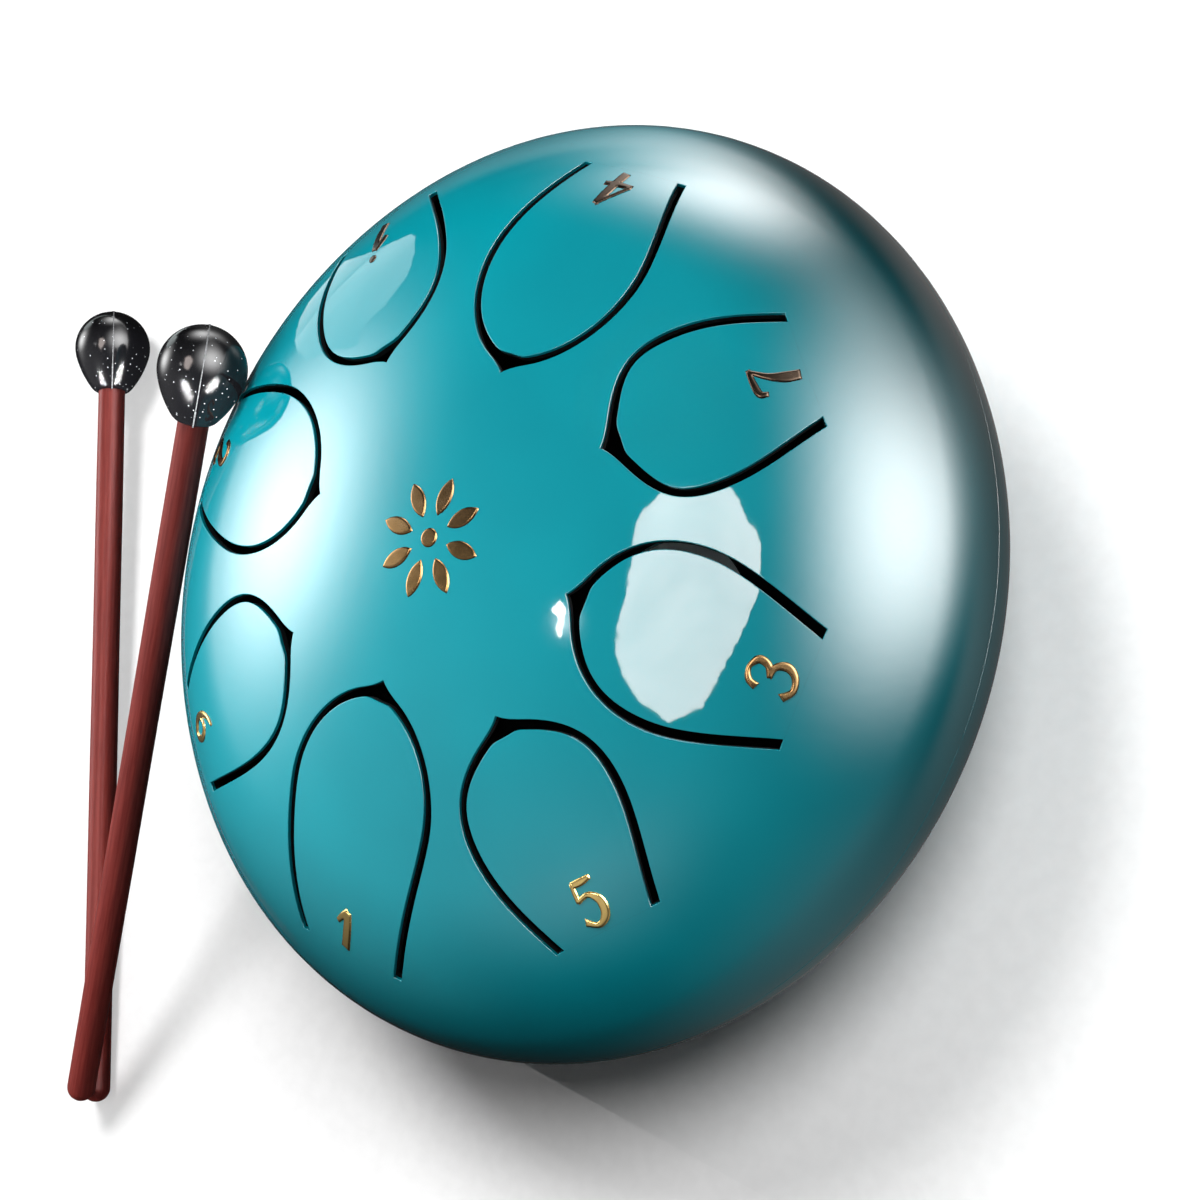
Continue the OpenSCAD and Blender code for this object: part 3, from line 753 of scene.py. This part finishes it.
def malletPlaces():
    m = mallets
    grip = m["length"] - m["stick"] - m["head"]
    (shoulderX, shoulderZ), reach = arcCentres[1], arcRadii[1] + m["head"] + m["gap"]
    side = math.radians(m["leanSide"])
    leanOut = shoulderX + reach * math.cos(side)
    leanUp = body["seamZ"] + shoulderZ + reach * math.sin(side)
    leanRise = math.asin((leanUp - m["stick"] - m["buttLift"]) / grip)
    leanFoot = leanOut * along(m["leanTurn"]) - grip * math.cos(leanRise) * along(m["leanHeading"])
    tuck = math.sqrt((2 * m["stick"] + m["gap"]) ** 2 - m["buttLift"] ** 2)
    lyingFoot = leanFoot + tuck * along(m["lyingHeading"] + 90)
    lyingRise = math.asin((m["head"] - m["stick"]) / grip)
    spots = []
    for foot, z, toward, rise in ((lyingFoot, m["stick"], m["lyingHeading"], lyingRise),
                                  (leanFoot, m["stick"] + m["buttLift"], m["leanHeading"], leanRise)):
        turn = Matrix.Rotation(math.radians(toward), 3, "Z") @ Matrix.Rotation(math.pi / 2 - rise, 3, "Y")
        spots.append((np.array(turn), np.array([foot[0], foot[1], z])))
    return spots, grip


def stickPiece(k, place, grip):
    # Hand-turned: its thickness wavers a little along its length.
    m, patch = mallets, Patch()
    profile = arcProfile((0, 0), m["stick"], 179.5, 90, m["buttRows"])
    top = grip + m["stickInto"]
    profile += [(m["stick"] * (1 + m["waver"] * math.sin(h * m["waverRun"] + k)), h, 1, 0)
                for h in np.linspace(m["stickFrom"], top, m["stickRows"])]
    last = lathe(patch, profile, place, m["stickAround"])[-1]
    axis = place[0] @ np.array([0, 0, 1.0])
    cap = patch.add((np.array([[0, 0, top]]) @ place[0].T) + place[1], axis[None])
    for n in range(len(last)):
        patch.faces.append((last[n], last[(n + 1) % len(last)], cap[0]))
        patch.slots.append(0)
    return patch.piece(f"lacqueredStick_{k}", [makeStickLacquer(f"redBrownLacquer_{k}", axis)])


def headPiece(k, place, grip, flashTurn):
    # The two halves of the mould leave a thin raised line along the head.
    m, patch = mallets, Patch()
    topDir, flankDir = (0.96, -0.28), (0.8, -0.6)  # where the ball meets the flank, and the flank the edge
    flankC = (m["head"] - m["flank"]) * np.array(topDir)
    edgeC = flankC + (m["flank"] - m["edge"]) * np.array(flankDir)
    topEnd, flankEnd = math.degrees(math.atan2(*topDir)), math.degrees(math.atan2(*flankDir))
    profile = arcProfile((0, 0), m["head"], 0.3, topEnd, m["ballRows"])
    profile += arcProfile(flankC, m["flank"], topEnd + 1, flankEnd, m["flankRows"])
    profile += arcProfile(edgeC, m["edge"], flankEnd + 8, 176, m["edgeRows"])
    bore, floorH, (lipOut, lipUp) = m["stick"] + m["boreGap"], profile[-1][1], m["boreLip"]
    profile += [(bore + lipOut, floorH, 0, -1), (bore, floorH + lipUp, -1, 0), (bore, m["boreFrom"], -1, 0)]
    coarse = np.linspace(0, 2 * math.pi, m["headAround"], endpoint=False)
    fine = np.linspace(-m["flashReach"], m["flashReach"], m["flashSteps"])
    fine = fine * m["flashWidth"] / m["flashAt"]  # closer steps beside both mould lines
    t = np.unique(np.round(np.mod(np.r_[coarse, fine, math.pi + fine], 2 * math.pi), 5))
    rows = []
    for n, (r, h, nr, nh) in enumerate(profile):
        off = np.abs(np.mod(t + math.pi / 2, math.pi) - math.pi / 2)  # angle from the nearer mould line
        out = off * max(r, m["leastRadius"]) / m["flashWidth"]
        lift = m["flashHeight"] * np.exp(-out ** 2) if n < len(profile) - 3 else 0
        spin = t + math.radians(flashTurn)
        wide = r + lift * nr
        local = np.c_[wide * np.cos(spin), wide * np.sin(spin), h + lift * nh + grip + 0 * t]
        rows.append(patch.add((local @ place[0].T) + place[1],
                              np.c_[nr * np.cos(spin), nr * np.sin(spin), np.full(len(t), nh)] @ place[0].T))
    span = np.append(t[1:], t[0] + 2 * math.pi)
    off = np.abs(np.mod((t + span) / 2 + math.pi / 2, math.pi) - math.pi / 2)
    for (r, h, nr, nh), a, b in zip(profile, rows, rows[1:]):
        patch.strip(b, a, 0, True)
        # Faces on the mould line take the pale material, a painted highlight.
        for n in np.flatnonzero(off * max(r, m["leastRadius"]) < m["flashWidth"] * m["paleLineShare"]):
            patch.slots[n - len(t)] = 1
    piece = patch.piece(f"rubberHead_{k}", [headRubber, mouldLineHighlight])
    # The mesh's own normals show the line.
    piece.data.normals_split_custom_set([(0, 0, 0)] * len(piece.data.loops))
    return piece


malletSpots, gripLength = malletPlaces()
sticks = [stickPiece(k + 1, malletSpots[k], gripLength) for k in range(2)]
heads = [headPiece(k + 1, malletSpots[k], gripLength, mallets["flashTurns"][k]) for k in range(2)]
print("feet and mallets made")


def settle(piece, bodyName, node):
    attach(piece, bodyName)
    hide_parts(node)


settle(upperShell, "drum", "upper_shell")
settle(lowerShell, "drum", "lower_shell")
settle(weldBead, "drum", "seam_weld")
settle(rosette, "drum", "centre_emblem")
for k, piece in enumerate(footPieces):
    settle(piece, "drum", f"foot_{k + 1}")
for n, tongue, number in zip(noteNames, tongues, numbers):
    settle(tongue, f"tongue_{n}", f"tongue_{n}")
    settle(number, f"tongue_{n}", f"number_{n}")
for k in range(2):
    settle(sticks[k], f"mallet_{k + 1}", f"mallet_{k + 1}_stick")
    settle(heads[k], f"mallet_{k + 1}", f"mallet_{k + 1}_head")
print("pieces settled on their bodies")


table = {"radius": 5.0, "around": 96, "color": "#f4f4f4", "grain": "#f0f0f0", "grainMm": 3, "bounce": "#3c3c3c",
         "glow": 0.1, "shadeMm": 90,
         "whiteFrom": 0.3, "whiteTo": 0.75}  # metres from the middle: there it fades into the backdrop


def stagePiece(name, points, faces, material):
    mesh = bpy.data.meshes.new(name)
    mesh.from_pydata(points, [], faces)
    mesh.materials.append(material)
    piece = bpy.data.objects.new(name, mesh)
    bpy.context.collection.objects.link(piece)
    return piece


def seenDirectly(tree):
    # 1 for what the eye, the gloss or glass sees, 0 for light on its way to something else.
    path = addNode(tree, "LightPath")
    seen = path.outputs["Is Camera Ray"]
    for ray in ("Is Glossy Ray", "Is Transmission Ray"):
        seen = addNode(tree, "Math", {0: seen, 1: path.outputs[ray]}, {"operation": "MAXIMUM"})
    return seen


def makeTable():
    # Matt white studio board to the eye; what it throws back onto the drum is dim, as from a board far below.
    material, tree = newMaterial("whiteStudioBoard")
    place = addNode(tree, "NewGeometry")
    grain = addNode(tree, "TexNoise", {"Vector": place}, Scale=1 / (table["grainMm"] * mm), Detail=2.0)
    tone = addNode(tree, "ValToRGB", {"Fac": grain})
    rampColors(tone, [(0.3, table["grain"]), (0.7, table["color"])])
    dim = addNode(tree, "BsdfDiffuse", Color=linearColor(table["bounce"]))
    board = addNode(tree, "BsdfPrincipled", {"Base Color": tone}, Roughness=0.6, IOR=1.45)
    openSky = addNode(tree, "AmbientOcclusion", None, {"samples": 8}, Distance=table["shadeMm"] * mm)
    shade = addNode(tree, "Math", {0: openSky.outputs["AO"], 1: 2}, {"operation": "POWER"})
    level = addNode(tree, "Math", {0: shade, 1: table["glow"]}, {"operation": "MULTIPLY"})
    glow = addNode(tree, "Emission", {"Strength": level})
    near = addNode(tree, "AddShader", {0: board, 1: glow})
    away = addNode(tree, "VectorMath", {0: place}, {"operation": "LENGTH"})
    far = addNode(tree, "MapRange", {"Value": away.outputs["Value"]}, {"interpolation_type": "SMOOTHSTEP"},
                  From_Min=table["whiteFrom"], From_Max=table["whiteTo"])
    white = addNode(tree, "Emission")
    sweep = addNode(tree, "MixShader", {0: far, 1: near, 2: white})
    mixed = addNode(tree, "MixShader", {0: seenDirectly(tree), 1: dim, 2: sweep})
    addNode(tree, "OutputMaterial", {"Surface": mixed})
    edge = np.c_[table["radius"] * circle(table["around"]), np.zeros(table["around"])]
    return stagePiece("studioTable", edge.tolist(), [tuple(range(len(edge)))], material)


studioTable = makeTable()

backdrop = {"white": 1.0, "fill": 0.12}  # what the eye and the gloss see, and what lights the scene


def makeBackdrop():
    world = bpy.data.worlds.new("studioWhite")
    bpy.context.scene.world = world
    world.use_nodes = True
    tree = world.node_tree
    tree.nodes.clear()
    fill = addNode(tree, "Background", Color=(1, 1, 1, 1), Strength=backdrop["fill"])
    white = addNode(tree, "Background", Color=(1, 1, 1, 1), Strength=backdrop["white"])
    mixed = addNode(tree, "MixShader", {0: seenDirectly(tree), 1: fill, 2: white})
    addNode(tree, "OutputWorld", {"Surface": mixed})


makeBackdrop()

aim = Vector((0, 0, 0.05))  # lamps, cards and the tent's bright places are set out around this point
lamps = {  # turn and height in degrees, distance and size in metres, watts
    "keyCloth": {"turn": 120, "height": 58, "away": 1.5, "size": (0.6, 0.6), "watts": 13.3, "lit": "drum"},
    "leftCloth": {"turn": -150, "height": 38, "away": 0.26, "size": (0.2, 0.2), "watts": 0.4, "lit": "drum"},
    "rightCloth": {"turn": -50, "height": 68, "away": 1.0, "size": (0.5, 0.5), "watts": 1.9, "lit": "drum"},
    "tableKey": {"turn": 120, "height": 58, "away": 1.5, "size": (0.6, 0.6), "watts": 15,
                 "lit": "table", "past": "flags"},
    "tableCloth": {"turn": 44, "height": 55, "away": 1.5, "size": (0.7, 0.7), "watts": 18,
                   "lit": "table", "past": "mallets"},
    "rightEye": {"turn": -28, "height": 2, "away": 2, "size": (1.7, 0.85), "watts": 150,
                 "lit": "heads", "past": "all"},
    "leftEye": {"turn": -88, "height": 28, "away": 2, "size": (0.85, 1.7), "watts": 150,
                "lit": "heads", "past": "all"}}
flags = {  # black cloths on the table that only shade the drum: the ends of each and its height in metres
    "lowFlag": {"ends": [(-0.06, -0.0815), (0.1, -0.0815)], "height": 0.125},
    "rearFlag": {"ends": [(-0.01, 0.1), (0.082, 0.06)], "height": 0.125}}
patches = {  # bright places of the tent: turn and height in degrees, spread over the distance, radiance
    "rightBox": {"turn": 38, "height": 25, "spread": 0.37, "shine": 21.5},
    "rearBox": {"turn": 112.5, "height": 6, "spread": 0.18, "shine": 13},
    "leftBox": {"turn": -175.5, "height": 23, "spread": 0.172, "shine": 14},
    "leftWall": {"turn": -145, "height": 32, "spread": 0.5, "shine": 0.5},
    "frontBand": {"turn": -85, "height": 47, "spread": 0.22, "shine": 0.9},
    "bridge": {"turn": 80, "height": 12, "spread": 0.17, "shine": 2.2},
    "lowRight": {"turn": -32, "height": -6, "spread": 0.35, "shine": 0.5},
    "bulbGlow": {"turn": -161, "height": 74.9, "spread": 0.022, "shine": 9},
    "ceiling": {"turn": 0, "height": 90, "spread": 1.2, "shine": 0.15}}
tent = {"radius": 3.6, "dark": 0.02, "around": 96, "rings": 18, "middle": 0.02, "lift": 0.0003}  # metres
tableCards = {  # pale soft-edged cards on the table: place and spread in metres, radiance
    "rightCard": {"at": (0.13, 0.025), "spread": 0.03, "shine": 0.6},
    "farCard": {"at": (0.06, 0.11), "spread": 0.04, "shine": 0.5},
    "rearCard": {"at": (-0.127, 0.195), "spread": 0.06, "shine": 0.45}}
cards = {  # sharp-edged white cards, seen only in the gloss: corners as turn and height in degrees, radiance
    "nearWindow": {"corners": [(114.1, 72.3), (86.5, 70.3), (71, 72.5), (57, 72.7), (49, 73.4), (31.7, 74.6),
                               (13.2, 77.7), (-17.5, 78.7), (-43.2, 76.7), (-65.6, 76), (-85.1, 78.4),
                               (-98.4, 80.1), (-123.2, 81.9), (-158.1, 83.7), (168.5, 83.8), (142.3, 80.7),
                               (132.3, 76.9), (124.2, 74.9)],
                   "color": "#fff0ea", "shine": 14.5},
    "sideWindow": {"corners": [(158.5, -2.3), (155.6, 2), (155.1, 5), (156, 14), (157.5, 17), (161.1, 18),
                               (163.9, 17.4), (166, 19), (168.8, 13.4), (170.8, 9.7), (170.5, -2.3)],
                   "color": "#f4ffff", "shine": 2.4},
    "sideSheet": {"laid": [(-1.117, 0.44), (-0.397, 0.15), (-0.197, 0.073), (-0.225, 0.06), (-0.303, 0.068),
                           (-1.183, 0.198)],  # this one lies on the table: its corners in metres
                  "color": "#f4ffff", "shine": 1.6},
    "bareBulb": {"corners": [(-167.8, 74.2), (-170.1, 74.8), (-164.3, 75.8), (-157.4, 75.5), (-151, 74.9),
                             (-156.3, 74.4), (-161.1, 74.7), (-164, 73.7)], "color": "#ffffff", "shine": 40}}
cardCloth = {"away": 1.2, "lift": 0.0006, "foldScale": 3.5, "dim": 0.86, "bright": 1.08}


def heading(turn, height):
    a, e = math.radians(turn), math.radians(height)
    return Vector((math.cos(e) * math.cos(a), math.cos(e) * math.sin(a), math.sin(e)))


def makeFlag(name, look):
    material, tree = newMaterial(f"{name}Cloth")
    black = addNode(tree, "BsdfDiffuse", Color=(0, 0, 0, 1))
    addNode(tree, "OutputMaterial", {"Surface": black})
    low = [(x, y, 0) for x, y in look["ends"]]
    high = [(x, y, look["height"]) for x, y in look["ends"]]
    flag = stagePiece(name, low + high[::-1], [(0, 1, 2, 3)], material)
    flag.visible_camera = flag.visible_glossy = flag.visible_transmission = flag.visible_volume_scatter = False
    return flag


def lightGroup(name, pieces, state):
    group = bpy.data.collections.new(name)
    for k, piece in enumerate(pieces):
        group.objects.link(piece)
        group.collection_objects[k].light_linking.link_state = state
    return group


def makeLamp(name, look):
    # Lit: all but the table ("drum"), only the table, or only the mallet heads, which mirror their two lamps.
    data = bpy.data.lights.new(name, "AREA")
    data.shape = "ELLIPSE"
    data.size, data.size_y = look["size"]
    data.energy = look["watts"]
    data.use_shadow = data.cycles.use_multiple_importance_sampling = look.get("past") != "all"
    lamp = bpy.data.objects.new(name, data)
    bpy.context.collection.objects.link(lamp)
    toward = heading(look["turn"], look["height"])
    lamp.location = aim + toward * look["away"]
    lamp.rotation_euler = toward.to_track_quat("Z", "Y").to_euler()
    lamp.visible_camera = False
    lamp.visible_glossy = look["lit"] == "heads"
    lit = {"drum": ([studioTable], "EXCLUDE"), "table": ([studioTable], "INCLUDE"), "heads": (heads, "INCLUDE")}
    lamp.light_linking.receiver_collection = lightGroup(f"{name}Lights", *lit[look["lit"]])
    past = {"flags": blackFlags, "mallets": blackFlags + heads + sticks}.get(look.get("past"))
    if past:
        lamp.light_linking.blocker_collection = lightGroup(f"{name}Passes", past, "EXCLUDE")


def glossOnly(piece):
    piece.visible_camera = piece.visible_diffuse = piece.visible_shadow = piece.visible_transmission = False
    piece.visible_volume_scatter = False


def makeCard(name, look):
    # A white card on a stand, far enough off that it looks the same from all over the drum.
    material, tree = newMaterial(f"{name}Cloth")
    place = addNode(tree, "NewGeometry")
    folds = addNode(tree, "TexNoise", {"Vector": place},
                    Scale=cardCloth["foldScale"], Detail=2.0, Distortion=0.6)
    level = addNode(tree, "MapRange", {"Value": folds}, From_Min=0.3, From_Max=0.7,
                    To_Min=look["shine"] * cardCloth["dim"], To_Max=look["shine"] * cardCloth["bright"])
    shine = addNode(tree, "Emission", {"Strength": level}, Color=linearColor(look["color"]))
    addNode(tree, "OutputMaterial", {"Surface": shine})
    if "laid" in look:
        corners = [(x, y, cardCloth["lift"]) for x, y in look["laid"]]
    else:
        corners = [tuple(aim + heading(*corner) * cardCloth["away"]) for corner in look["corners"]]
    count = len(corners)
    middle = tuple(sum((Vector(corner) for corner in corners), Vector()) / count)
    faces = [(k, (k + 1) % count, count) for k in range(count)]
    glossOnly(stagePiece(name, corners + [middle], faces, material))


def makeTentCloth():
    # Dark cloth with soft boxes behind it and pale cards laid on the table: each fades out from its middle.
    material, tree = newMaterial("tentCloth")
    place = addNode(tree, "NewGeometry")
    toward = addNode(tree, "VectorMath", {0: place, 1: aim}, {"operation": "SUBTRACT"})
    ray = addNode(tree, "VectorMath", {0: toward}, {"operation": "NORMALIZE"})
    powers = []
    for look in patches.values():
        middle, fall = heading(look["turn"], look["height"]), -0.5 / look["spread"] ** 2
        cosine = addNode(tree, "VectorMath", {0: ray, 1: middle}, {"operation": "DOT_PRODUCT"})
        front = addNode(tree, "Math", {0: cosine.outputs["Value"], 1: 0.05}, {"operation": "MAXIMUM"})
        wide = addNode(tree, "Math", {0: front, 1: -2}, {"operation": "POWER"})
        powers.append((look["shine"], {0: wide, 1: fall, 2: -fall}))
    for look in tableCards.values():
        away = addNode(tree, "VectorMath", {0: place, 1: (*look["at"], 0)}, {"operation": "DISTANCE"})
        square = addNode(tree, "Math", {0: away.outputs["Value"], 1: 2}, {"operation": "POWER"})
        powers.append((look["shine"], {0: square, 1: -0.5 / look["spread"] ** 2, 2: 0.0}))
    total = tent["dark"]
    for shine, terms in powers:
        power = addNode(tree, "Math", terms, {"operation": "MULTIPLY_ADD"})
        fade = addNode(tree, "Math", {0: power}, {"operation": "EXPONENT"})
        total = addNode(tree, "Math", {0: fade, 1: shine, 2: total}, {"operation": "MULTIPLY_ADD"})
    glow = addNode(tree, "Emission", {"Strength": total})
    addNode(tree, "OutputMaterial", {"Surface": glow})
    return material


def makeTent():
    # The tent stands over the table and lies on it, and only the gloss sees it.
    count, lift, ring = tent["around"], tent["lift"], circle(tent["around"])
    sizes = [(tent["middle"], lift)]
    sizes += [(tent["radius"] * math.cos(e), lift + tent["radius"] * math.sin(e))
              for e in np.radians(np.linspace(0, 90, tent["rings"] + 1))]
    points = np.vstack([np.c_[ring * r, np.full(count, z)] for r, z in sizes])
    faces = []
    for low in range(0, count * (len(sizes) - 1), count):
        for k in range(count):
            n = (k + 1) % count
            faces.append((low + k, low + n, low + count + n, low + count + k))
    glossOnly(stagePiece("lightTent", points.tolist(), faces, makeTentCloth()))


blackFlags = [makeFlag(flagName, flagLook) for flagName, flagLook in flags.items()]
for lampName, lampLook in lamps.items():
    makeLamp(lampName, lampLook)
for cardName, cardLook in cards.items():
    makeCard(cardName, cardLook)
makeTent()

# The camera fitted to the photo: its place in metres, its directions, and its lens in the frame's pixels.
view = {"at": (0.239126, 0.008525, 0.362838), "right": (0.7562, 0.3533, -0.5508),
        "down": (0.2994, -0.9352, -0.1889), "ahead": (-0.5819, -0.0220, -0.8130),
        "focalPixels": 2500, "pixels": 1200, "sensorMm": 36}


def makeCamera():
    data = bpy.data.cameras.new("photoView")
    data.sensor_width = view["sensorMm"]
    data.sensor_fit = "HORIZONTAL"
    data.lens = view["sensorMm"] * view["focalPixels"] / view["pixels"]
    data.clip_start = 0.01
    camera = bpy.data.objects.new("photoView", data)
    bpy.context.collection.objects.link(camera)
    right, down, ahead = Vector(view["right"]), Vector(view["down"]), Vector(view["ahead"])
    camera.matrix_world = Matrix.Translation(view["at"]) @ Matrix((right, -down, -ahead)).transposed().to_4x4()
    bpy.context.scene.camera = camera


makeCamera()
bpy.context.scene.view_settings.view_transform = "Standard"
print("table, light and camera made")
